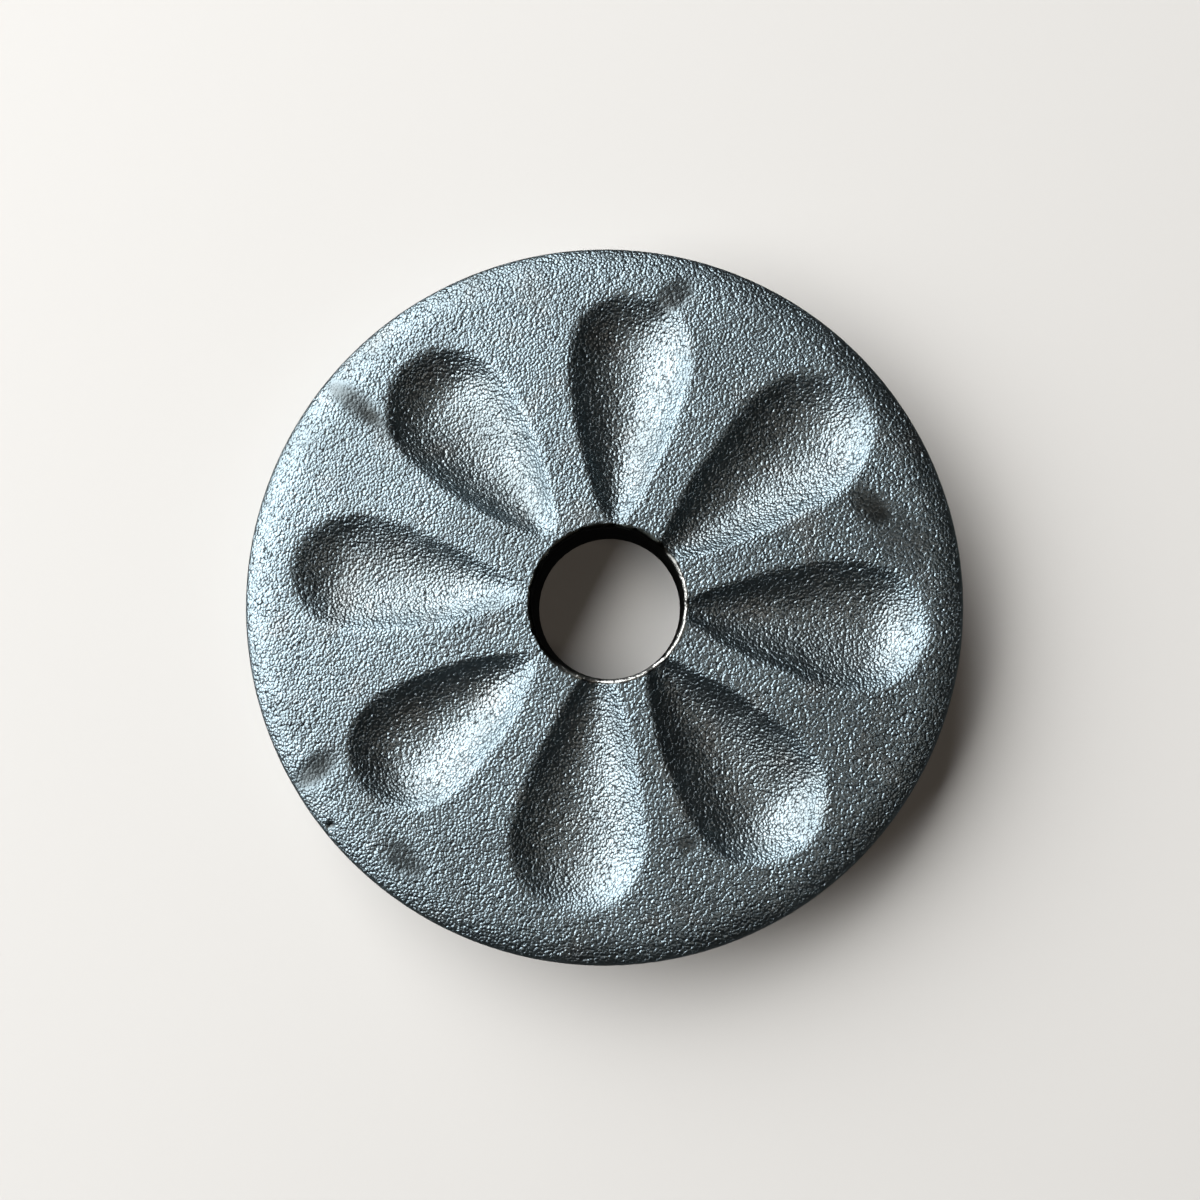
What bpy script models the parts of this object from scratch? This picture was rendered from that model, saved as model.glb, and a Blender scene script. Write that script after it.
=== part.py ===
"""Decorative cast iron washer: one thick round casting, drilled for a bolt.

The top is very slightly crowned and rolls over a shoulder and a small corner into the side.
Eight spoon-shaped hollows radiate round the bolt hole, and the underside is flat. Metres, +Z up,
with the origin in the middle of the underside.
"""

from dataclasses import dataclass
from math import atan, cos, pi, radians, sin

import bpy
import numpy as np

MM = 0.001

# The blank: a turned ring
OUTER_RADIUS = 38.1 * MM
THICKNESS = 10.5 * MM              # at the lip of the bolt hole
CROWN_RADIUS = 2000 * MM           # of the crown's curve, seen from the side
SHOULDER_START = 34.3 * MM         # where the crown begins to roll over
SHOULDER_RADIUS = 9.1 * MM
SHOULDER_SLOPE = radians(21)       # where the shoulder gives way to the tighter corner
SIDE_DRAFT = 0.15 * MM             # how far the side leans in from its foot to its top
FOOT_EDGE = 0.4 * MM               # edge taken off round the underside

# The bolt hole
BORE_RADIUS = 7.95 * MM
BORE_LIP = 0.5 * MM                # round edge at its top

# The hub, round which hole and scoops lie: a little off the middle of the outline
HUB = (0.65 * MM, -0.35 * MM)

# The scoops: carved by eye in the pattern, so no two are quite alike
END_POWER = 2.5                    # how square a scoop's two ends are, 2 being an ellipse
BOWL_DEPTH = 2.34 * MM             # halfway along, below the crown
BOWL_FALL = 0.42 * MM              # how much deeper the bowl gets towards its outer end
HEEL_DEPTH = 0.76 * MM             # extra depth that keeps the outer end's wall steep
HEEL_PLACE = 0.74                  # from 0 halfway along to 1 at the outer end
HEEL_WIDTH = 0.26                  # in the same measure
EDGE_ROUNDING = 1.1 * MM           # blend from the scoop's wall to the crown

# The mesh: strips round the ring, some of them gathered into the scoops
SECTOR_STEPS = 16
SCOOP_STEPS = 8                    # of those 16, across each scoop
CROWN_STRIPS = 22
CROWN_STRIP_POWER = 0.8            # below 1, the strips get finer towards the shoulder
SHOULDER_STRIPS = 4
CORNER_STRIPS = 3
LIP_STRIPS = 2
NARROWEST = 0.45                   # least gathering near a scoop's two ends

IRON_COLOUR = (0.042, 0.045, 0.05, 1.0)
IRON_ROUGHNESS = 0.45
IRON_METALLIC = 0.6
SHARP_ANGLE = radians(40)


@dataclass(frozen=True)
class Scoop:
    """One hollow: its axis from +X, its two ends' radii, its half angle and its depth's share."""

    axis: float
    inner: float
    outer: float
    half_angle: float
    depth: float


def scoop(axis, inner, outer, half_angle, depth):
    """A hollow from angles in degrees and radii in millimetres."""
    return Scoop(radians(axis), inner * MM, outer * MM, radians(half_angle), depth)


SCOOPS = (
    scoop(-5.2, 7.1, 33.3, 16.0, 1.04),
    scoop(40.2, 6.6, 34.5, 15.4, 1.02),
    scoop(84.9, 8.4, 33.2, 14.9, 1.05),
    scoop(129.3, 9.4, 33.3, 15.4, 1.13),
    scoop(172.9, 9.4, 33.6, 13.9, 0.88),
    scoop(216.2, 10.0, 32.1, 15.0, 1.04),
    scoop(262.6, 5.6, 32.2, 17.0, 0.94),
    scoop(307.7, 7.0, 32.2, 17.5, 1.20),
)


def crown_height(radius):
    """Height of the crowned top at a radius."""
    lip_radius = BORE_RADIUS + BORE_LIP
    return THICKNESS - (radius ** 2 - lip_radius ** 2) / (2 * CROWN_RADIUS)


def roll(start, radius, slope_from, slope_to, strips):
    """Points on an arc that goes on outwards from a start while its slope down grows."""
    centre_x = start[0] - radius * sin(slope_from)
    centre_z = start[1] - radius * cos(slope_from)
    slopes = [slope_from + (slope_to - slope_from) * i / strips for i in range(1, strips + 1)]
    return [(centre_x + radius * sin(slope), centre_z + radius * cos(slope)) for slope in slopes]


def blank_profile():
    """Section through the ring, from the hole's lip outwards, down the side and back inside."""
    lip_radius = BORE_RADIUS + BORE_LIP
    lip_foot = (BORE_RADIUS, THICKNESS - BORE_LIP)
    points = [lip_foot] + roll_up_lip(lip_foot)
    for i in range(1, CROWN_STRIPS + 1):
        share = (i / CROWN_STRIPS) ** CROWN_STRIP_POWER
        radius = lip_radius + (SHOULDER_START - lip_radius) * share
        points.append((radius, crown_height(radius)))

    crown_slope = atan(SHOULDER_START / CROWN_RADIUS)
    points += roll(points[-1], SHOULDER_RADIUS, crown_slope, SHOULDER_SLOPE, SHOULDER_STRIPS)
    side_top = OUTER_RADIUS - SIDE_DRAFT
    corner_radius = (side_top - points[-1][0]) / (1 - sin(SHOULDER_SLOPE))
    points += roll(points[-1], corner_radius, SHOULDER_SLOPE, pi / 2, CORNER_STRIPS)

    points.append((OUTER_RADIUS, FOOT_EDGE))
    points.append((OUTER_RADIUS - FOOT_EDGE, 0.0))
    points.append((BORE_RADIUS, 0.0))
    return points


def roll_up_lip(foot):
    """Points on the quarter round from the bore's wall to the crown."""
    centre_x = foot[0] + BORE_LIP
    turns = [pi / 2 * i / LIP_STRIPS for i in range(1, LIP_STRIPS + 1)]
    return [(centre_x - BORE_LIP * cos(turn), foot[1] + BORE_LIP * sin(turn)) for turn in turns]


def turned_mesh(name, points, steps):
    """Mesh of a closed profile turned once round Z."""
    mesh = bpy.data.meshes.new(name)
    edges = [(i, (i + 1) % len(points)) for i in range(len(points))]
    mesh.from_pydata([(x, 0.0, z) for x, z in points], edges, [])
    blank = bpy.data.objects.new(name, mesh)
    bpy.context.scene.collection.objects.link(blank)
    screw = blank.modifiers.new("turn", "SCREW")
    screw.steps = steps
    screw.render_steps = steps
    screw.use_merge_vertices = False
    screw.use_smooth_shade = True
    graph = bpy.context.evaluated_depsgraph_get()
    turned = bpy.data.meshes.new_from_object(blank.evaluated_get(graph))
    bpy.data.objects.remove(blank)
    bpy.data.meshes.remove(mesh)
    return turned


def along(scoop_form, radius):
    """Place along a scoop, from -1 at its inner end to 1 at its outer end."""
    middle = (scoop_form.inner + scoop_form.outer) / 2
    return (radius - middle) / (scoop_form.outer - middle)


def half_angle_at(scoop_form, radius):
    """Half angle of a scoop's outline at a radius, never less than a share of its widest."""
    reach = np.clip(np.abs(along(scoop_form, radius)), 0.0, 1.0)
    return scoop_form.half_angle * np.maximum(np.sqrt(1 - reach ** END_POWER), NARROWEST)


def scoop_depth(scoop_form, radius, offset):
    """Depth of a scoop below the crown, from the radius and the angle off its axis."""
    x = along(scoop_form, radius)
    y = offset / scoop_form.half_angle
    heel = HEEL_DEPTH * np.exp(-((x - HEEL_PLACE) / HEEL_WIDTH) ** 2)
    bowl = BOWL_DEPTH + BOWL_FALL * np.clip(x, -1.0, 1.0) + heel
    hollow = bowl * scoop_form.depth * (1 - np.abs(x) ** END_POWER - y ** 2)
    blend = np.clip(1 - np.abs(hollow) / EDGE_ROUNDING, 0.0, 1.0)
    return np.maximum(hollow, 0.0) + blend ** 3 * EDGE_ROUNDING / 6


def gather(offset, scoop_form, radius, gap_before, gap_after):
    """Angle off a scoop's axis of an even mesh line, moved so that lines run along its edge."""
    even_edge = pi / len(SCOOPS) * SCOOP_STEPS / SECTOR_STEPS
    even_gap = pi / len(SCOOPS)
    edge = half_angle_at(scoop_form, radius)
    gap = np.where(offset < 0, gap_before, gap_after)
    inside = np.abs(offset) / even_edge * edge
    outside = edge + (np.abs(offset) - even_edge) / (even_gap - even_edge) * (gap - edge)
    return np.sign(offset) * np.where(np.abs(offset) <= even_edge, inside, outside)


def carve(mesh):
    """Move the turned mesh's inside onto the hub, and sink the scoops into its top."""
    points = np.empty(len(mesh.vertices) * 3)
    mesh.vertices.foreach_get("co", points)
    points = points.reshape(-1, 3)
    radius = np.hypot(points[:, 0], points[:, 1])
    even_sector = 2 * pi / len(SCOOPS)
    turn = np.arctan2(points[:, 1], points[:, 0]) % (2 * pi)
    nearest = np.round(turn / even_sector).astype(int) % len(SCOOPS)
    offset = (turn - nearest * even_sector + pi) % (2 * pi) - pi

    angle = np.zeros_like(turn)
    for i, form in enumerate(SCOOPS):
        gap_before = (form.axis - SCOOPS[i - 1].axis) % (2 * pi) / 2
        gap_after = (SCOOPS[(i + 1) % len(SCOOPS)].axis - form.axis) % (2 * pi) / 2
        gathered = form.axis + gather(offset, form, radius, gap_before, gap_after)
        angle = np.where(nearest == i, gathered, angle)

    drift = 1 - np.clip((radius - BORE_RADIUS) / (OUTER_RADIUS - BORE_RADIUS), 0.0, 1.0)
    points[:, 0] = radius * np.cos(angle) + HUB[0] * drift
    points[:, 1] = radius * np.sin(angle) + HUB[1] * drift

    top = points[:, 2] > THICKNESS / 2
    x = points[:, 0] - HUB[0]
    y = points[:, 1] - HUB[1]
    for form in SCOOPS:
        off_axis = (np.arctan2(y, x) - form.axis + pi) % (2 * pi) - pi
        points[:, 2] -= np.where(top, scoop_depth(form, np.hypot(x, y), off_axis), 0.0)
    mesh.vertices.foreach_set("co", points.ravel())
    mesh.update()


def iron_material():
    """Dark semi-gloss cast iron."""
    material = bpy.data.materials.new("cast_iron")
    material.use_nodes = True
    shader = material.node_tree.nodes["Principled BSDF"]
    shader.inputs["Base Color"].default_value = IRON_COLOUR
    shader.inputs["Roughness"].default_value = IRON_ROUGHNESS
    shader.inputs["Metallic"].default_value = IRON_METALLIC
    return material


def make_washer(collection):
    """The whole casting, as one object."""
    mesh = turned_mesh("washer", blank_profile(), SECTOR_STEPS * len(SCOOPS))
    carve(mesh)
    mesh.materials.append(iron_material())
    mesh.shade_smooth()
    mesh.set_sharp_from_angle(angle=SHARP_ANGLE)
    washer = bpy.data.objects.new("washer", mesh)
    collection.objects.link(washer)
    return washer


def main():
    """Empty the scene and model the washer in a collection of its own."""
    for old in list(bpy.data.objects):
        bpy.data.objects.remove(old)
    collection = bpy.data.collections.new("cast_iron_washer")
    bpy.context.scene.collection.children.link(collection)
    make_washer(collection)


main()
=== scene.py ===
"""Dress the decorative cast iron washer and light it for its picture.

The washer is one sand casting: a crowned disc with eight spoon-shaped hollows round a drilled
bolt hole. Its blank is turned ring by ring, and a Geometry Nodes tree sinks the hollows and
dents, moves the hole off centre and roughens the skin.
"""

import logging
from dataclasses import dataclass
from enum import Enum
from math import atan, ceil, cos, pi, radians, sin, sqrt
from typing import Mapping, Optional, Sequence, Union

import bpy
import numpy as np
from mathutils import Matrix, Vector


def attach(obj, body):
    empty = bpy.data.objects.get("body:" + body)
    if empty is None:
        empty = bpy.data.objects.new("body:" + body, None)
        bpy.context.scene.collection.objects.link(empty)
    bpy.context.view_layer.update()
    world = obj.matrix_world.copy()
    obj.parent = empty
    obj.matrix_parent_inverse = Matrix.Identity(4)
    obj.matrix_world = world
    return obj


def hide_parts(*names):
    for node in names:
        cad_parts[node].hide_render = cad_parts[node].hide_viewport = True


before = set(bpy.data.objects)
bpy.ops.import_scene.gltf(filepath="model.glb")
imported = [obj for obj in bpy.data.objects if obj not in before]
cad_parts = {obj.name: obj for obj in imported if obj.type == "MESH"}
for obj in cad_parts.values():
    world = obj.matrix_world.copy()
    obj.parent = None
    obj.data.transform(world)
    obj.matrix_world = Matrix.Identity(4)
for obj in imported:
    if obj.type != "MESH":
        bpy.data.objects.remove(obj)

MM = 0.001
LOG = logging.getLogger("washer")

Colour = tuple[float, float, float]
Pair = tuple[float, float]

# Numbers that every hollow takes from the relief tree
HOLLOW_INPUTS = ("End Power", "Bowl Depth", "Bowl Fall", "Heel Depth", "Heel Place",
                 "Heel Width", "Edge Rounding")

# A Mix node's sockets where it mixes colours: the share and the two colours, then the result
MIX_INPUTS = (0, 6, 7)
MIX_RESULT = 2


class Mark(Enum):
    """Named attributes that the relief tree leaves on the mesh for the finish to read."""

    HOLLOW = "hollow"
    SMUDGE = "smudge"
    DRILLED = "drilled"
    LIP = "lip"


class Pattern(Enum):
    """What each pattern of lumps is for, as its step from the tree's seed."""

    WOBBLE_X = 0.0
    WOBBLE_Y = 1.0
    SAG = 2.0
    SKIN = 3.0
    CHIPS = 4.0


class Term:
    """One output of a node, which Python's arithmetic carries on into further nodes."""

    def __init__(self, tree: "Tree", socket: bpy.types.NodeSocket) -> None:
        """Keep the socket and the tree that it belongs to."""
        self.tree = tree
        self.socket = socket

    def __add__(self, other: "Value") -> "Term":
        """This plus another."""
        return self.tree.math("ADD", self, other)

    def __radd__(self, other: "Value") -> "Term":
        """Another plus this."""
        return self.tree.math("ADD", other, self)

    def __sub__(self, other: "Value") -> "Term":
        """This less another."""
        return self.tree.math("SUBTRACT", self, other)

    def __rsub__(self, other: "Value") -> "Term":
        """Another less this."""
        return self.tree.math("SUBTRACT", other, self)

    def __mul__(self, other: "Value") -> "Term":
        """This times another."""
        return self.tree.math("MULTIPLY", self, other)

    def __rmul__(self, other: "Value") -> "Term":
        """Another times this."""
        return self.tree.math("MULTIPLY", other, self)

    def __truediv__(self, other: "Value") -> "Term":
        """This over another."""
        return self.tree.math("DIVIDE", self, other)

    def __pow__(self, other: "Value") -> "Term":
        """This to the power of another."""
        return self.tree.math("POWER", self, other)

    def __abs__(self) -> "Term":
        """This without its sign."""
        return self.tree.math("ABSOLUTE", self)


Value = Union[float, Term]


class Tree:
    """A node tree under construction, for geometry and for materials alike."""

    def __init__(self, nodes: bpy.types.NodeTree) -> None:
        """Keep the Blender tree that the nodes go into."""
        self.nodes = nodes

    def add(self, kind: str, inputs: Optional[Mapping] = None,
            **settings: object) -> bpy.types.Node:
        """Add one node.

        Args:
            kind: The node's Blender type name.
            inputs: What goes into its sockets, by name or by number.
            settings: The node's own properties.

        Returns:
            The new node.
        """
        node = self.nodes.nodes.new(kind)
        for name, setting in settings.items():
            setattr(node, name, setting)
        for key, value in (inputs or {}).items():
            self.feed(value, node.inputs[key])
        return node

    def feed(self, value: object, socket: bpy.types.NodeSocket) -> None:
        """Link a term to a socket, or type a plain value into it.

        Args:
            value: The term or the plain value.
            socket: The socket that it goes into.
        """
        if isinstance(value, Term):
            self.nodes.links.new(value.socket, socket)
        else:
            socket.default_value = value

    def out(self, node: bpy.types.Node, key: Union[int, str] = 0) -> Term:
        """One of a node's outputs as a term."""
        return Term(self, node.outputs[key])

    def math(self, operation: str, *values: Value) -> Term:
        """Combine numbers with one Math node."""
        node = self.add("ShaderNodeMath", dict(enumerate(values)), operation=operation)
        return self.out(node)

    def vector_math(self, operation: str, *values: object) -> Term:
        """Combine vectors with one Vector Math node."""
        node = self.add("ShaderNodeVectorMath", dict(enumerate(values)), operation=operation)
        return self.out(node)

    def scaled(self, vector: Term, factor: Value) -> Term:
        """A vector times a number."""
        node = self.add("ShaderNodeVectorMath", {0: vector, "Scale": factor}, operation="SCALE")
        return self.out(node)

    def split(self, vector: Term) -> tuple[Term, Term, Term]:
        """The three parts of a vector."""
        node = self.add("ShaderNodeSeparateXYZ", {0: vector})
        return self.out(node, "X"), self.out(node, "Y"), self.out(node, "Z")

    def joined(self, x: Value, y: Value, z: Value) -> Term:
        """A vector from its three parts."""
        return self.out(self.add("ShaderNodeCombineXYZ", {"X": x, "Y": y, "Z": z}))

    def ramp(self, value: Value, low: Value, high: Value) -> Term:
        """A smooth step.

        Args:
            value: What is read.
            low: The value at which the step leaves 0.
            high: The value at which it reaches 1.

        Returns:
            The step's height at the value.
        """
        node = self.add("ShaderNodeMapRange", {"Value": value, "From Min": low, "From Max": high},
                        interpolation_type="SMOOTHSTEP")
        return self.out(node)

    def noise(self, place: Term, size: float, seed: Value, detail: float = 2.0) -> Term:
        """Smooth noise about 0.5.

        Args:
            place: Where it is read, in metres.
            size: Size of its lumps, in metres.
            seed: Picks one pattern of many.
            detail: Number of finer layers on top.

        Returns:
            The noise's value.
        """
        inputs = {"Vector": place, "W": seed, "Scale": 1 / size, "Detail": detail}
        return self.out(self.add("ShaderNodeTexNoise", inputs, noise_dimensions="4D"))

    def mix_colour(self, share: Value, one: Union[Colour, Term],
                   other: Union[Colour, Term]) -> Term:
        """A colour between two.

        Args:
            share: The other colour's share, from 0 to 1.
            one: A plain colour or a term.
            other: A plain colour or a term.

        Returns:
            The mixed colour.
        """
        inputs = dict(zip(MIX_INPUTS, (share, self.opaque(one), self.opaque(other))))
        return self.out(self.add("ShaderNodeMix", inputs, data_type="RGBA"), MIX_RESULT)

    @staticmethod
    def opaque(colour: Union[Colour, Term]) -> Union[tuple[float, ...], Term]:
        """A plain colour with its fourth number, or a term as it is."""
        return colour if isinstance(colour, Term) else (*colour, 1.0)


class GroupTree(Tree):
    """A geometry tree with named inputs and outputs, to use as a modifier or inside another."""

    def __init__(self, name: str, inputs: Sequence[str], outputs: Sequence[str],
                 shape: bool = False) -> None:
        """Make the tree and its sockets.

        Args:
            name: The tree's name.
            inputs: Names of the numbers that go in.
            outputs: Names of the numbers that come out.
            shape: Whether a geometry goes in and comes out too.
        """
        super().__init__(bpy.data.node_groups.new(name, "GeometryNodeTree"))
        face = self.nodes.interface
        if shape:
            face.new_socket("Geometry", in_out="INPUT", socket_type="NodeSocketGeometry")
            face.new_socket("Geometry", in_out="OUTPUT", socket_type="NodeSocketGeometry")
        for title in inputs:
            face.new_socket(title, in_out="INPUT", socket_type="NodeSocketFloat")
        for title in outputs:
            face.new_socket(title, in_out="OUTPUT", socket_type="NodeSocketFloat")
        self.entry = self.add("NodeGroupInput")
        self.exit = self.add("NodeGroupOutput")

    def given(self, title: str) -> Term:
        """One of the tree's named inputs."""
        return self.out(self.entry, title)

    def give(self, title: str, value: Value) -> None:
        """Set one of the tree's named outputs."""
        self.feed(value, self.exit.inputs[title])

    def call(self, group: "GroupTree", inputs: Mapping, title: str) -> Term:
        """Use another group inside this tree, and read one of its outputs.

        Args:
            group: The other group.
            inputs: What goes into its sockets, by name.
            title: The output's name.

        Returns:
            That output.
        """
        node = self.add("GeometryNodeGroup", node_tree=group.nodes)
        for name, value in inputs.items():
            self.feed(value, node.inputs[name])
        return self.out(node, title)

    def identifiers(self) -> dict[str, str]:
        """Identifier of each named input."""
        return {item.name: item.identifier for item in self.nodes.interface.items_tree
                if item.item_type == "SOCKET" and item.in_out == "INPUT"}


@dataclass(frozen=True)
class Ring:
    """One ring of the blank: its radius, its height and how many points it has."""

    radius: float
    height: float
    points: int


@dataclass(frozen=True)
class Scoop:
    """One hollow: its axis and half angle in degrees, its ends' radii in mm, its depth's share."""

    axis: float
    inner: float
    outer: float
    half_angle: float
    depth: float

    def sockets(self) -> dict[str, float]:
        """The hollow's numbers in the tree's units, by socket name."""
        return {"Axis": radians(self.axis), "Inner": self.inner * MM, "Outer": self.outer * MM,
                "Half Angle": radians(self.half_angle), "Depth Share": self.depth}


@dataclass(frozen=True)
class Dent:
    """A shallow worn or smeared place: its middle, direction and size in mm and degrees."""

    x: float
    y: float
    direction: float
    length: float
    width: float
    depth: float
    dirt: float

    def sockets(self) -> dict[str, float]:
        """The dent's numbers in the tree's units, by socket name."""
        return {"Centre X": self.x * MM, "Centre Y": self.y * MM,
                "Direction": radians(self.direction), "Length": self.length * MM,
                "Width": self.width * MM}


@dataclass
class Blank:
    """The turned ring before it is carved, as a mesh of rings with even triangles."""

    outer_radius: float = 38.1 * MM
    thickness: float = 10.5 * MM
    crown_radius: float = 2000 * MM
    shoulder_start: float = 34.3 * MM
    shoulder_radius: float = 9.1 * MM
    shoulder_slope: float = radians(21)
    side_draft: float = 0.15 * MM
    foot_edge: float = 0.4 * MM
    bore_radius: float = 7.95 * MM
    bore_lip: float = 0.5 * MM
    lip_step: float = 0.275 * MM / 3
    lip_pitch: float = 0.22 * MM
    top_pitch: float = 0.275 * MM
    side_pitch: float = 0.4 * MM
    under_pitch: float = 1.0 * MM
    bore_pitch: float = 0.4 * MM

    def crown_height(self, radius: float) -> float:
        """Height of the crowned top at a radius."""
        lip_radius = self.bore_radius + self.bore_lip
        return self.thickness - (radius ** 2 - lip_radius ** 2) / (2 * self.crown_radius)

    @staticmethod
    def steps(length: float, pitch: float) -> list[float]:
        """Even shares of a length, after its start, that suit triangles of a pitch."""
        count = max(1, ceil(length / (pitch * sqrt(3) / 2)))
        return [i / count for i in range(1, count + 1)]

    def line(self, start: Pair, end: Pair, pitch: float) -> list[Pair]:
        """Points along a straight run of the section.

        Args:
            start: Where it starts, which isn't repeated.
            end: Where it ends.
            pitch: Side of the triangles on it.

        Returns:
            The points after the start.
        """
        length = float(np.hypot(end[0] - start[0], end[1] - start[1]))
        return [(start[0] + (end[0] - start[0]) * s, start[1] + (end[1] - start[1]) * s)
                for s in self.steps(length, pitch)]

    def roll(self, start: Pair, radius: float, slopes: Pair, pitch: float) -> list[Pair]:
        """Points on an arc that goes on outwards while its slope down grows.

        Args:
            start: Where it starts, which isn't repeated.
            radius: The arc's radius.
            slopes: Its slope at its start and at its end.
            pitch: Side of the triangles on it.

        Returns:
            The points after the start.
        """
        middle = (start[0] - radius * sin(slopes[0]), start[1] - radius * cos(slopes[0]))
        turn = slopes[1] - slopes[0]
        return [(middle[0] + radius * sin(slopes[0] + turn * s),
                 middle[1] + radius * cos(slopes[0] + turn * s))
                for s in self.steps(radius * turn, pitch)]

    def section(self) -> list[tuple[list[Pair], float]]:
        """The closed section, from the hole's lip outwards, down the side and back inside.

        Returns:
            Runs of points, each with the pitch of the triangles on it.
        """
        lip_foot = (self.bore_radius, self.thickness - self.bore_lip)
        lip = self.roll(lip_foot, self.bore_lip, (-pi / 2, 0.0), self.lip_step)
        lip_radius = self.bore_radius + self.bore_lip
        crown_width = self.shoulder_start - lip_radius
        crown = [(lip_radius + crown_width * s, self.crown_height(lip_radius + crown_width * s))
                 for s in self.steps(crown_width, self.top_pitch)]

        crown_slope = atan(self.shoulder_start / self.crown_radius)
        shoulder = self.roll(crown[-1], self.shoulder_radius, (crown_slope, self.shoulder_slope),
                             self.top_pitch)
        side_top = self.outer_radius - self.side_draft
        corner_radius = (side_top - shoulder[-1][0]) / (1 - sin(self.shoulder_slope))
        corner = self.roll(shoulder[-1], corner_radius, (self.shoulder_slope, pi / 2),
                           self.top_pitch)
        foot = (self.outer_radius, self.foot_edge)
        under = (self.outer_radius - self.foot_edge, 0.0)
        inside = (self.bore_radius, 0.0)
        return [
            (lip, self.lip_pitch),
            (crown, self.top_pitch),
            (shoulder + corner, self.top_pitch),
            (self.line(corner[-1], foot, self.side_pitch), self.side_pitch),
            (self.line(foot, under, self.side_pitch), self.side_pitch),
            (self.line(under, inside, self.under_pitch), self.under_pitch),
            (self.line(inside, lip_foot, self.bore_pitch), self.bore_pitch),
        ]

    def rings(self) -> list[Ring]:
        """Every ring of the blank, in the section's order."""
        return [Ring(radius, height, round(2 * pi * radius / pitch))
                for run, pitch in self.section() for radius, height in run]

    @staticmethod
    def strip(first: int, second: int, start: int,
              next_start: int) -> list[tuple[int, int, int]]:
        """Triangles between two rings of different counts.

        Args:
            first: Points on the earlier ring.
            second: Points on the later ring.
            start: Index of the earlier ring's first point.
            next_start: Index of the later ring's first point.

        Returns:
            The triangles' corners, counted so that they face out of the iron.
        """
        faces = []
        i = j = 0
        while i < first or j < second:
            here, there = start + i % first, next_start + j % second
            if j == second or (i < first and (i + 1) * second <= (j + 1) * first):
                i += 1
                faces.append((here, there, start + i % first))
            else:
                j += 1
                faces.append((here, there, next_start + j % second))
        return faces

    def mesh(self) -> bpy.types.Mesh:
        """Turn the blank.

        Returns:
            A closed mesh of it.
        """
        rings = self.rings()
        starts = np.cumsum([0] + [ring.points for ring in rings]).tolist()
        places = []
        for ring in rings:
            turns = 2 * pi * np.arange(ring.points) / ring.points
            column = np.full(ring.points, ring.height)
            places.append(np.stack([ring.radius * np.cos(turns), ring.radius * np.sin(turns),
                                    column], axis=1))
        faces = []
        for i, ring in enumerate(rings):
            after = (i + 1) % len(rings)
            faces += self.strip(ring.points, rings[after].points, starts[i], starts[after])
        mesh = bpy.data.meshes.new("washer_blank")
        mesh.from_pydata(np.concatenate(places).tolist(), [], faces)
        mesh.shade_smooth()
        return mesh


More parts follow.
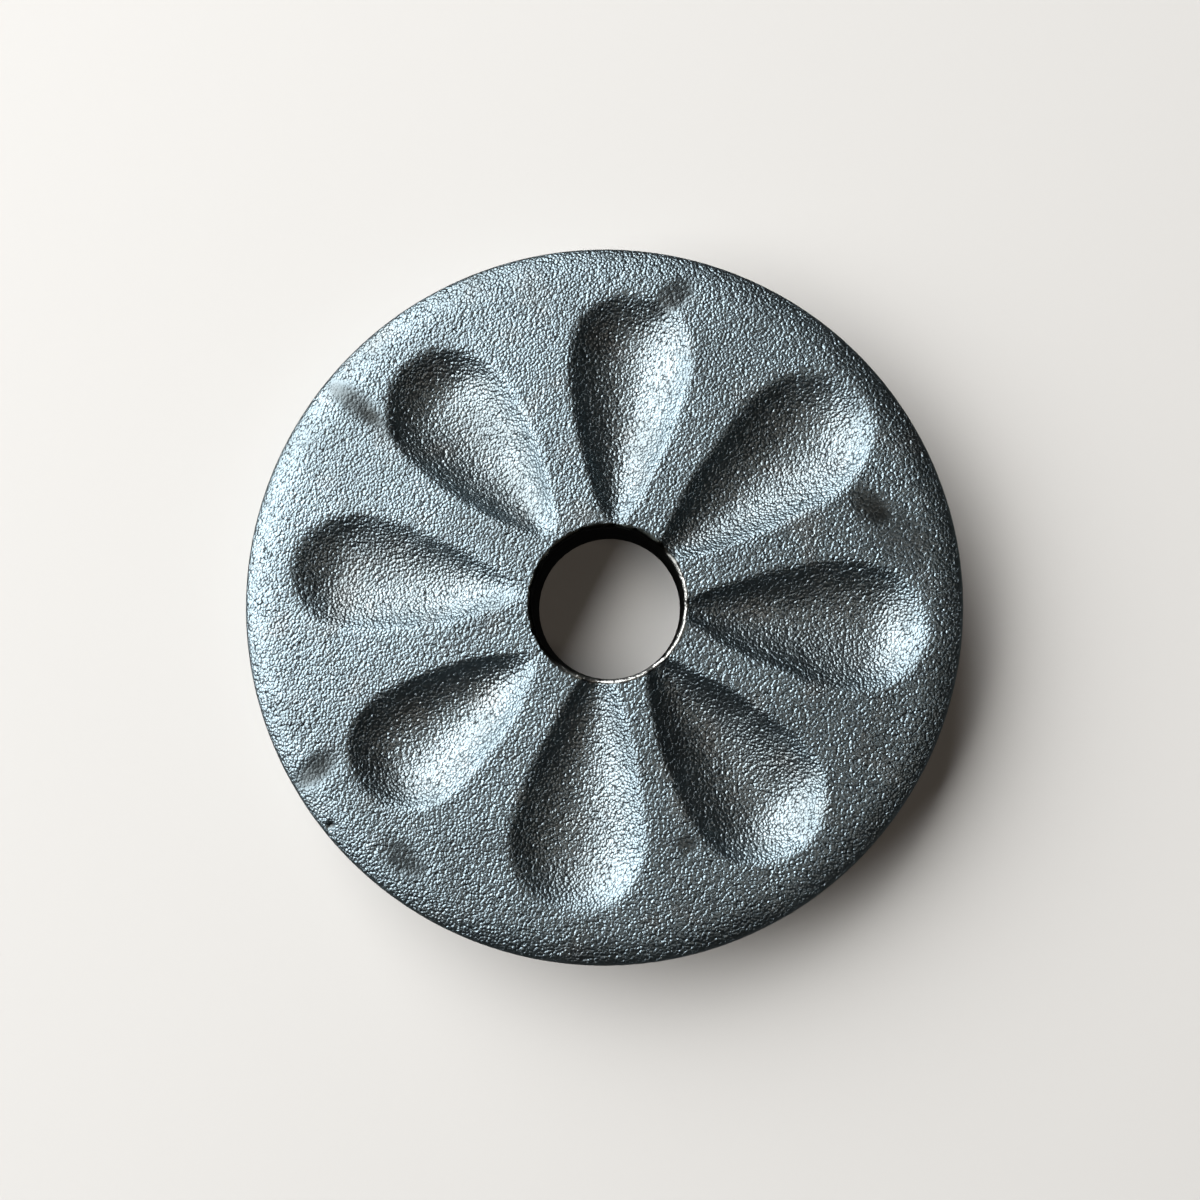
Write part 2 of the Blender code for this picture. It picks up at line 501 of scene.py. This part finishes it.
@dataclass
class Relief:
    """The tree that carves the blank: hole off centre, hollows, dents and the cast skin.

    Lengths are in metres, and a band is the low and the high end of a smooth step.
    """

    hub: Pair = (0.65 * MM, -0.35 * MM)
    end_power: float = 2.5
    bowl_depth: float = 2.34 * MM
    bowl_fall: float = 0.42 * MM
    heel_depth: float = 0.76 * MM
    heel_place: float = 0.74
    heel_width: float = 0.26
    edge_rounding: float = 0.65 * MM
    hand_wobble: float = 0.3 * MM
    wobble_size: float = 5.0 * MM
    sag: float = 0.1 * MM
    sag_size: float = 12.0 * MM
    lump_height: float = 0.05 * MM
    lump_size: float = 0.9 * MM
    seed: float = 7.0

    # The drilled metal and its lip, in radius from the lip's own. The drilled metal's near-black
    # colour is painted shade in the hole and on the lip's far side. The lip is painted bright on
    # the side that faces the key lamp: uncoated metal there, and a painted highlight in being
    # bright only on that side.
    ragged: float = 0.5 * MM
    drilled_band: Pair = (-0.08 * MM, 0.04 * MM)
    bright_band: Pair = (-0.27 * MM, -0.03 * MM)
    lit_lip_direction: float = radians(-45)
    lamp_side_band: Pair = (-0.05, 0.6)           # cosine of the angle off that direction
    lamp_side_chips_band: Pair = (0.38, 0.6)
    lamp_side_least: float = 0.6
    lip_chips: float = 0.22 * MM
    chip_size: float = 0.9 * MM
    chip_width: float = 0.5 * MM
    chip_band: Pair = (0.45, 0.8)

    # Heights, from the thickness down for the lip, as its share or from the foot up
    lip_height_band: Pair = (-0.6 * MM, -0.3 * MM)
    chip_height_band: Pair = (-1.6 * MM, -0.6 * MM)
    carved_share_band: Pair = (0.5, 0.62)
    skin_height_band: Pair = (0.2 * MM, 1.0 * MM)

    def numbers(self, blank: Blank) -> dict[str, float]:
        """The tree's named inputs and their values."""
        return {
            "Outer Radius": blank.outer_radius, "Thickness": blank.thickness,
            "Bore Radius": blank.bore_radius, "Bore Lip": blank.bore_lip,
            "Hub X": self.hub[0], "Hub Y": self.hub[1], "End Power": self.end_power,
            "Bowl Depth": self.bowl_depth, "Bowl Fall": self.bowl_fall,
            "Heel Depth": self.heel_depth, "Heel Place": self.heel_place,
            "Heel Width": self.heel_width, "Edge Rounding": self.edge_rounding,
            "Hand Wobble": self.hand_wobble, "Sag": self.sag, "Lump Height": self.lump_height,
            "Lit Lip Direction": self.lit_lip_direction, "Lip Chips": self.lip_chips,
            "Seed": self.seed,
        }

    @staticmethod
    def hollow_group() -> GroupTree:
        """Depth of one hollow below the crown.

        Returns:
            A group that takes a place, counted from the hub, and the hollow's numbers.
        """
        own = ["X", "Y", "Axis", "Inner", "Outer", "Half Angle", "Depth Share"]
        tree = GroupTree("hollow", [*own, *HOLLOW_INPUTS], ["Depth"])
        x, y = tree.given("X"), tree.given("Y")
        inner, outer = tree.given("Inner"), tree.given("Outer")
        radius = tree.math("SQRT", x * x + y * y)
        off_axis = tree.math("WRAP", tree.math("ARCTAN2", y, x) - tree.given("Axis"), pi, -pi)
        along = (radius - (inner + outer) * 0.5) / ((outer - inner) * 0.5)
        across = off_axis / tree.given("Half Angle")

        to_heel = (along - tree.given("Heel Place")) / tree.given("Heel Width")
        heel = tree.given("Heel Depth") * tree.math("EXPONENT", to_heel * to_heel * -1.0)
        inside = tree.math("MAXIMUM", tree.math("MINIMUM", along, 1.0), -1.0)
        bowl = tree.given("Bowl Depth") + tree.given("Bowl Fall") * inside + heel
        outline = 1.0 - abs(along) ** tree.given("End Power") - across * across
        hollow = bowl * outline * tree.given("Depth Share")
        depth = tree.math("SMOOTH_MAX", hollow, 0.0, tree.given("Edge Rounding"))
        tree.give("Depth", depth)
        return tree

    @staticmethod
    def dent_group() -> GroupTree:
        """Share of one dent's depth, from 1 at its middle to nothing.

        Returns:
            A group that takes a place and the dent's numbers.
        """
        names = ["X", "Y", "Centre X", "Centre Y", "Direction", "Length", "Width"]
        tree = GroupTree("dent", names, ["Share"])
        x = tree.given("X") - tree.given("Centre X")
        y = tree.given("Y") - tree.given("Centre Y")
        cosine = tree.math("COSINE", tree.given("Direction"))
        sine = tree.math("SINE", tree.given("Direction"))
        along = (x * cosine + y * sine) / (tree.given("Length") * 0.5)
        across = (y * cosine - x * sine) / (tree.given("Width") * 0.5)
        reach = along * along + across * across
        tree.give("Share", tree.math("EXPONENT", reach * reach * -1.0))
        return tree

    @staticmethod
    def lip_radius(tree: GroupTree) -> Term:
        """Radius at which the crown meets the hole's lip."""
        return tree.given("Bore Radius") + tree.given("Bore Lip")

    @staticmethod
    def above(tree: GroupTree, z: Term, band: Pair) -> Term:
        """A smooth step over heights that are told from the thickness."""
        thickness = tree.given("Thickness")
        return tree.ramp(z, thickness + band[0], thickness + band[1])

    def drilled_marks(self, tree: GroupTree, place: Term, chips: Term) -> tuple[Term, Term]:
        """Where the drill has been.

        Args:
            tree: The tree under construction.
            place: Where it is read, on the blank.
            chips: The lumps that make its outline ragged.

        Returns:
            The share of drilled metal, which the finish paints near black for the shade in the
            hole, and the share of lip that is painted bright: uncoated metal, with a painted
            highlight on the side that faces the key lamp.
        """
        x, y, z = tree.split(place)
        outline = tree.math("SQRT", x * x + y * y) + (chips - 0.5) * self.ragged
        lip_radius = self.lip_radius(tree)
        drilled, bright = (
            1.0 - tree.ramp(outline, lip_radius + band[0], lip_radius + band[1])
            for band in (self.drilled_band, self.bright_band))
        off_way = tree.math("ARCTAN2", y, x) - tree.given("Lit Lip Direction")
        # Painted highlight: the lip is kept bright only on the side that faces the key lamp, and
        # the chips break it up
        worn = tree.ramp(tree.math("COSINE", off_way), *self.lamp_side_band)
        chipped = tree.ramp(chips, *self.lamp_side_chips_band) * (1.0 - self.lamp_side_least)
        high = self.above(tree, z, self.lip_height_band)
        return drilled, bright * high * worn * (chipped + self.lamp_side_least)

    def spread(self, tree: GroupTree, place: Term, chips: Term) -> tuple[Term, Term]:
        """Chip the lip outwards, and drift the middle of the blank onto the hub.

        Args:
            tree: The tree under construction.
            place: Where the blank's points are.
            chips: The lumps that pick the chips.

        Returns:
            The points' new X and Y.
        """
        x, y, z = tree.split(place)
        radius = tree.math("SQRT", x * x + y * y)
        lip_radius = self.lip_radius(tree)
        near = 1.0 - tree.ramp(radius, lip_radius, lip_radius + self.chip_width)
        rim = near * self.above(tree, z, self.chip_height_band)
        chip = rim * tree.ramp(chips, *self.chip_band) * tree.given("Lip Chips")
        larger = 1.0 + chip / radius
        drift = 1.0 - tree.out(tree.add("ShaderNodeMapRange", {
            "Value": radius, "From Min": tree.given("Bore Radius"),
            "From Max": tree.given("Outer Radius")}))
        return x * larger + tree.given("Hub X") * drift, y * larger + tree.given("Hub Y") * drift

    def hollows(self, tree: GroupTree, x: Term, y: Term, scoops: Sequence[Scoop]) -> Value:
        """Depth of all hollows together.

        Args:
            tree: The tree under construction.
            x: Where it is read.
            y: Where it is read.
            scoops: The hollows.

        Returns:
            The depth below the crown.
        """
        group = self.hollow_group()
        shared = {name: tree.given(name) for name in HOLLOW_INPUTS}
        at = {"X": x - tree.given("Hub X"), "Y": y - tree.given("Hub Y")}
        depth: Value = 0.0
        for scoop in scoops:
            depth = tree.call(group, {**at, **scoop.sockets(), **shared}, "Depth") + depth
        return depth

    def worn_places(self, tree: GroupTree, x: Term, y: Term,
                    dents: Sequence[Dent]) -> tuple[Value, Value]:
        """Depth and dirt of all dents together.

        Args:
            tree: The tree under construction.
            x: Where it is read.
            y: Where it is read.
            dents: The worn and smeared places.

        Returns:
            The depth, and the share of dirt.
        """
        group = self.dent_group()
        depth: Value = 0.0
        dirt: Value = 0.0
        for dent in dents:
            share = tree.call(group, {"X": x, "Y": y, **dent.sockets()}, "Share")
            depth = share * (dent.depth * MM) + depth
            dirt = share * dent.dirt + dirt
        return depth, dirt

    def skin(self, tree: GroupTree, shape: Term) -> Term:
        """Sink low lumps into the cast skin, but not into the drilled metal or the foot.

        Args:
            tree: The tree under construction.
            shape: The carved geometry, with its marks stored.

        Returns:
            The geometry with its skin.
        """
        place = tree.out(tree.add("GeometryNodeInputPosition"))
        normal = tree.out(tree.add("GeometryNodeInputNormal"))
        drilled = tree.out(tree.add("GeometryNodeInputNamedAttribute", {
            "Name": Mark.DRILLED.value}, data_type="FLOAT"))
        lumps = self.lumps(tree, place, self.lump_size, Pattern.SKIN)
        off_foot = tree.ramp(tree.split(place)[2], *self.skin_height_band)
        sunk = lumps * (1.0 - drilled) * off_foot * tree.given("Lump Height") * -1.0
        grained = tree.add("GeometryNodeSetPosition", {
            "Geometry": shape, "Offset": tree.scaled(normal, sunk)})
        return tree.out(grained)

    def tree(self, blank: Blank, scoops: Sequence[Scoop], dents: Sequence[Dent],
             material: bpy.types.Material) -> GroupTree:
        """The whole tree.

        Args:
            blank: The blank that it carves.
            scoops: The hollows.
            dents: The worn and smeared places.
            material: The finish that the mesh gets.

        Returns:
            The tree, with a geometry and named numbers going in.
        """
        tree = GroupTree("washer_relief", list(self.numbers(blank)), [], shape=True)
        place = tree.out(tree.add("GeometryNodeInputPosition"))
        z = tree.split(place)[2]
        chips = self.lumps(tree, place, self.chip_size, Pattern.CHIPS)
        drilled, lip = self.drilled_marks(tree, place, chips)
        x, y = self.spread(tree, place, chips)

        sway_x, sway_y = (
            (self.lumps(tree, place, self.wobble_size, pattern) * 2.0 - 1.0)
            * tree.given("Hand Wobble") for pattern in (Pattern.WOBBLE_X, Pattern.WOBBLE_Y))
        hollow = self.hollows(tree, x + sway_x, y + sway_y, scoops)
        dent, dirt = self.worn_places(tree, x + sway_x, y + sway_y, dents)
        sag = self.lumps(tree, place, self.sag_size, Pattern.SAG) * tree.given("Sag")
        low, high = (tree.given("Thickness") * share for share in self.carved_share_band)
        top = tree.ramp(z, low, high)

        shape = tree.given("Geometry")
        marks = {Mark.HOLLOW: hollow * (1 / self.bowl_depth) * top, Mark.SMUDGE: dirt * top,
                 Mark.DRILLED: drilled, Mark.LIP: lip}
        for mark, value in marks.items():
            shape = tree.out(tree.add("GeometryNodeStoreNamedAttribute", {
                "Geometry": shape, "Name": mark.value, "Value": value},
                data_type="FLOAT", domain="POINT"))
        carved = tree.add("GeometryNodeSetPosition", {
            "Geometry": shape, "Position": tree.joined(x, y, z - top * (hollow + dent + sag))})

        real = tree.add("GeometryNodeRealizeInstances", {
            "Geometry": self.skin(tree, tree.out(carved))})
        dressed = tree.add("GeometryNodeSetMaterial", {
            "Geometry": tree.out(real), "Material": material})
        tree.give("Geometry", tree.out(dressed))
        return tree

    @staticmethod
    def lumps(tree: GroupTree, place: Term, size: float, pattern: Pattern) -> Term:
        """Smooth lumps of a size, from 0 to 1."""
        return tree.noise(place, size, tree.given("Seed") + pattern.value, detail=1.0)


@dataclass(frozen=True)
class Patches:
    """Soft patches of a colour, which come and go over the skin."""

    colour: Colour
    size: float
    seed: float
    band: Pair
    share: float

    def over(self, tree: Tree, place: Term, skin: Term) -> Term:
        """Lay the patches over a colour."""
        patches = tree.ramp(tree.noise(place, self.size, self.seed), *self.band)
        return tree.mix_colour(patches * self.share, skin, self.colour)


@dataclass(frozen=True)
class Pebbles:
    """The sand's print in the skin, as small rounded grains of uneven height."""

    size: float = 0.31 * MM
    height: float = 0.105 * MM
    sway_size: float = 1 / 0.75              # in pebbles, as are the next line's
    sway: float = 0.8
    least: float = 0.8
    chance: float = 0.8
    chance_power: float = 3.0

    def relief(self, tree: Tree, place: Term) -> Term:
        """Height of the grains.

        Args:
            tree: The material's tree.
            place: Where it is read, in metres.

        Returns:
            The height, as a share of the pebbles' own.
        """
        sway = tree.add("ShaderNodeTexNoise", {
            "Vector": place, "Scale": 1 / (self.size * self.sway_size), "Detail": 1.0})
        shift = tree.scaled(tree.out(sway, "Color"), self.size * self.sway)
        grains = tree.add("ShaderNodeTexVoronoi", {
            "Vector": tree.vector_math("ADD", place, shift), "Scale": 1 / self.size})
        away = tree.out(grains, "Distance")
        luck = tree.split(tree.out(grains, "Color"))[0]
        return (1.0 - away * away) * (self.least + luck ** self.chance_power * self.chance)


@dataclass(frozen=True)
class CastIronFinish:
    """Sand-cast skin under a thin dark finish. The drilled hole is painted near black for the
    shade inside it, and the lip is painted bright on the side that faces the key lamp, as uncoated
    metal with a painted highlight.
    """

    skin: Colour = (0.208, 0.262, 0.290)
    hollow: Colour = (0.222, 0.264, 0.282)
    hollow_band: Pair = (0.1, 0.7)
    dirt: Colour = (0.056, 0.064, 0.065)
    patches: Sequence[Patches] = (
        Patches((0.056, 0.064, 0.065), 6.0 * MM, 3.0, (0.4, 0.7), 0.3),
        Patches((0.25, 0.235, 0.215), 5.0 * MM, 9.0, (0.52, 0.72), 0.25),
    )
    # Painted highlight, partly uncoated metal: the lip's bright colour, laid only on the side that
    # faces the key lamp
    uncoated_and_lit_lip: Colour = (0.58, 0.59, 0.57)
    # Painted shade: the drilled wall is painted near black for the shade inside the hole; the
    # scored lines are real tool marks
    bore_in_painted_shade: Colour = (0.018, 0.019, 0.017)
    scored: Colour = (0.16, 0.18, 0.165)
    scored_band: Pair = (0.56, 0.7)
    tool_mark: float = 0.25 * MM
    tool_mark_seed: float = 5.0
    tool_mark_stretch: tuple[float, float, float] = (0.06, 0.06, 1.0)
    metallic: float = 1.0
    roughness: float = 0.33
    pebbles: Pebbles = Pebbles()
    smudge_filling: float = 0.8              # of the grain, under a smudge
    lip_grain: float = 0.8                   # of the grain, on the lip's painted highlight

    def skin_colour(self, tree: Tree, place: Term, marks: Mapping[Mark, Term]) -> Term:
        """Colour of the cast skin, in and out of the hollows.

        Args:
            tree: The material's tree.
            place: Where it is read, in metres.
            marks: The relief tree's marks.

        Returns:
            The colour.
        """
        sunk = tree.ramp(marks[Mark.HOLLOW], *self.hollow_band)
        colour = tree.mix_colour(sunk, self.skin, self.hollow)
        for patches in self.patches:
            colour = patches.over(tree, place, colour)
        return tree.mix_colour(marks[Mark.SMUDGE], colour, self.dirt)

    def material(self) -> bpy.types.Material:
        """The finish as a material.

        Returns:
            A material that reads Object coordinates and the relief tree's marks.
        """
        material = bpy.data.materials.new("cast_iron")
        material.use_nodes = True
        tree = Tree(material.node_tree)
        shader = material.node_tree.nodes["Principled BSDF"]
        place = tree.out(tree.add("ShaderNodeTexCoord"), "Object")
        marks = {mark: tree.out(tree.add("ShaderNodeAttribute", attribute_name=mark.value), "Fac")
                 for mark in Mark}

        stretched = tree.vector_math("MULTIPLY", place, self.tool_mark_stretch)
        turning = tree.noise(stretched, self.tool_mark, self.tool_mark_seed)
        # Painted shade in the hole, with the tool marks' lighter lines
        bore_in_painted_shade = tree.mix_colour(tree.ramp(turning, *self.scored_band), self.bore_in_painted_shade, self.scored)
        colour = self.skin_colour(tree, place, marks)
        # The near-black bore colour also covers the lip's far side, as painted shade
        colour = tree.mix_colour(marks[Mark.DRILLED], colour, bore_in_painted_shade)
        # The lip's bright colour: uncoated metal, with a painted highlight on the lamp side
        colour = tree.mix_colour(marks[Mark.LIP], colour, self.uncoated_and_lit_lip)
        tree.feed(colour, shader.inputs["Base Color"])
        shader.inputs["Metallic"].default_value = self.metallic
        shader.inputs["Roughness"].default_value = self.roughness

        smooth = marks[Mark.DRILLED] * (1.0 - marks[Mark.LIP] * self.lip_grain)
        cast = (1.0 - smooth) * (1.0 - marks[Mark.SMUDGE] * self.smudge_filling)
        relief = self.pebbles.relief(tree, place) * cast + turning * marks[Mark.DRILLED]
        bump = tree.add("ShaderNodeBump", {
            "Height": relief, "Distance": self.pebbles.height, "Strength": 1.0})
        tree.feed(tree.out(bump, "Normal"), shader.inputs["Normal"])
        return material


@dataclass
class Washer:
    """The casting itself."""

    blank: Blank
    relief: Relief
    finish: CastIronFinish
    scoops: Sequence[Scoop] = (
        Scoop(-5.2, 7.1, 33.3, 16.0, 1.04),
        Scoop(40.2, 6.6, 34.5, 15.4, 1.02),
        Scoop(84.9, 8.4, 33.2, 14.9, 1.05),
        Scoop(129.3, 9.4, 33.3, 15.4, 1.13),
        Scoop(172.9, 9.4, 33.6, 13.9, 0.88),
        Scoop(216.2, 10.0, 32.1, 15.0, 1.04),
        Scoop(262.6, 5.6, 32.2, 17.0, 0.94),
        Scoop(307.7, 7.0, 32.2, 17.5, 1.20),
    )
    dents: Sequence[Dent] = (
        Dent(-26.3, 21.2, 142.0, 7.6, 2.8, 0.07, 0.85),
        Dent(-23.4, 18.4, 140.0, 5.0, 2.4, 0.04, 0.4),
        Dent(28.2, 9.9, 140.0, 5.0, 3.2, 0.06, 0.8),
        Dent(31.4, 6.6, 130.0, 8.0, 5.0, 0.0, 0.4),
        Dent(7.7, 32.3, 42.0, 5.8, 3.0, 0.06, 0.75),
        Dent(-29.9, -17.9, 38.0, 6.0, 2.8, 0.1, 0.9),
        Dent(-20.6, -26.8, 142.0, 5.4, 3.2, 0.06, 0.7),
        Dent(8.9, -25.4, 0.0, 2.2, 1.9, 0.06, 0.6),
        Dent(13.2, -11.9, 60.0, 7.0, 5.0, 0.0, 0.25),
        Dent(-28.4, -23.5, 30.0, 0.9, 0.7, 0.25, 1.0),
        Dent(-12.6, 7.2, 146.0, 8.0, 2.6, 0.04, 0.22),
    )

    sharp_angle: float = radians(55)

    def make(self) -> bpy.types.Object:
        """Carve and dress the washer, and let it stand for the solid.

        Returns:
            The finished piece.
        """
        material = self.finish.material()
        mould = bpy.data.objects.new("washer_mould", self.blank.mesh())
        bpy.context.scene.collection.objects.link(mould)
        tree = self.relief.tree(self.blank, self.scoops, self.dents, material)
        modifier = mould.modifiers.new("relief", "NODES")
        modifier.node_group = tree.nodes
        identifiers = tree.identifiers()
        for name, value in self.relief.numbers(self.blank).items():
            modifier[identifiers[name]] = value
        graph = bpy.context.evaluated_depsgraph_get()
        mesh = bpy.data.meshes.new_from_object(mould.evaluated_get(graph))
        bpy.data.objects.remove(mould)
        mesh.name = "washer_casting"
        mesh.set_sharp_from_angle(angle=self.sharp_angle)
        casting = bpy.data.objects.new("washer_casting", mesh)
        bpy.context.scene.collection.objects.link(casting)
        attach(casting, "root")
        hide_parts("washer")
        LOG.info("%s: %d triangles", casting.name, len(mesh.polygons))
        return casting


@dataclass(frozen=True)
class Lamp:
    """A soft lamp: where it stands, as angles and a distance, its size, power and tint."""

    name: str
    direction: float
    elevation: float
    distance: float
    size: Pair
    power: float
    colour: Colour = (1.0, 1.0, 1.0)

    def make(self) -> bpy.types.Object:
        """Put the lamp up and aim it at the washer.

        Returns:
            The lamp.
        """
        data = bpy.data.lights.new(self.name, "AREA")
        data.shape = "RECTANGLE"
        data.size, data.size_y = self.size
        data.energy = self.power
        data.color = self.colour
        lamp = bpy.data.objects.new(self.name, data)
        towards = Vector((cos(self.direction) * cos(self.elevation),
                          sin(self.direction) * cos(self.elevation), sin(self.elevation)))
        lamp.location = towards * self.distance
        lamp.rotation_mode = "QUATERNION"
        lamp.rotation_quaternion = towards.to_track_quat("Z", "Y")
        lamp.visible_camera = False
        bpy.context.scene.collection.objects.link(lamp)
        return lamp


@dataclass(frozen=True)
class FloorFinish:
    """A pale, dull, plain surface."""

    colour: Colour = (0.62, 0.61, 0.59)
    roughness: float = 0.8
    specular: float = 0.2

    def material(self) -> bpy.types.Material:
        """The finish as a material.

        Returns:
            The material.
        """
        material = bpy.data.materials.new("pale_floor")
        material.use_nodes = True
        shader = material.node_tree.nodes["Principled BSDF"]
        shader.inputs["Base Color"].default_value = (*self.colour, 1.0)
        shader.inputs["Roughness"].default_value = self.roughness
        shader.inputs["Specular IOR Level"].default_value = self.specular
        return material


@dataclass
class Studio:
    """A pale plain floor, a soft lamp from the upper left and the camera overhead."""

    floor_radius: float = 3.0
    floor_corners: int = 96
    floor_finish: FloorFinish = FloorFinish()
    lamps: Sequence[Lamp] = (
        Lamp("key", radians(153), radians(39), 1.2, (2.1, 1.1), 46.5),
        Lamp("fill", radians(-30), radians(72), 1.0, (0.4, 0.4), 0.7, (1.0, 0.86, 0.74)),
    )
    sky: Colour = (0.0024, 0.0023, 0.0022)
    backdrop: Colour = (0.62, 0.62, 0.61)
    floor_glow: Colour = (0.1, 0.099, 0.096)
    glow_from: Pair = (-0.85, -0.6)          # the glow's band, as the height of a direction
    glow_to: Pair = (-0.12, 0.0)
    camera_place: tuple[float, float, float] = (2.8 * MM, -8.1 * MM, 135.85 * MM)
    camera_target: tuple[float, float, float] = (-0.42 * MM, 0.66 * MM, 0.0)
    lens: float = 36.1
    clip: Pair = (0.01, 20.0)

    def floor(self) -> bpy.types.Object:
        """Lay the floor. The world's glow stands for its reflection in the sides.

        Returns:
            The floor, marked as stage.
        """
        bpy.ops.mesh.primitive_circle_add(vertices=self.floor_corners, radius=self.floor_radius,
                                          fill_type="NGON")
        floor = bpy.context.object
        floor.name = "floor"
        floor.data.materials.append(self.floor_finish.material())
        floor.visible_glossy = False
        LOG.info("floor: stage")
        return floor

    def world(self) -> None:
        """Dim even light from all round, the floor's glow, and a pale backdrop."""
        world = bpy.data.worlds.new("studio")
        world.use_nodes = True
        bpy.context.scene.world = world
        tree = Tree(world.node_tree)
        background = world.node_tree.nodes["Background"]
        height = tree.split(tree.out(tree.add("ShaderNodeTexCoord"), "Generated"))[2]
        glow = tree.ramp(height, *self.glow_from) * (1.0 - tree.ramp(height, *self.glow_to))
        light = tree.mix_colour(glow, self.sky, self.floor_glow)
        seen = tree.out(tree.add("ShaderNodeLightPath"), "Is Camera Ray")
        tree.feed(tree.mix_colour(seen, light, self.backdrop), background.inputs["Color"])

    def camera(self) -> bpy.types.Object:
        """Put the camera up, nearly overhead, with the picture's top towards +Y.

        Returns:
            The camera, which the scene then uses.
        """
        data = bpy.data.cameras.new("camera")
        data.lens = self.lens
        data.clip_start, data.clip_end = self.clip
        camera = bpy.data.objects.new("camera", data)
        forward = (Vector(self.camera_target) - Vector(self.camera_place)).normalized()
        right = forward.cross(Vector((0.0, 1.0, 0.0))).normalized()
        up = right.cross(forward)
        turn = Matrix((right, up, -forward)).transposed().to_4x4()
        camera.matrix_world = Matrix.Translation(self.camera_place) @ turn
        bpy.context.scene.collection.objects.link(camera)
        bpy.context.scene.camera = camera
        return camera

    def make(self) -> None:
        """Set up the floor, the lights, the camera and the picture's tones."""
        self.floor()
        for lamp in self.lamps:
            lamp.make()
        self.world()
        self.camera()
        bpy.context.scene.view_settings.view_transform = "Standard"
        bpy.context.scene.view_settings.look = "None"


def main() -> None:
    """Build the studio and the washer, and log the washer's triangle count."""
    logging.basicConfig(level=logging.INFO)
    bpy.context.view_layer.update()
    Studio().make()
    Washer(Blank(), Relief(), CastIronFinish()).make()


if __name__ == "__main__":
    main()
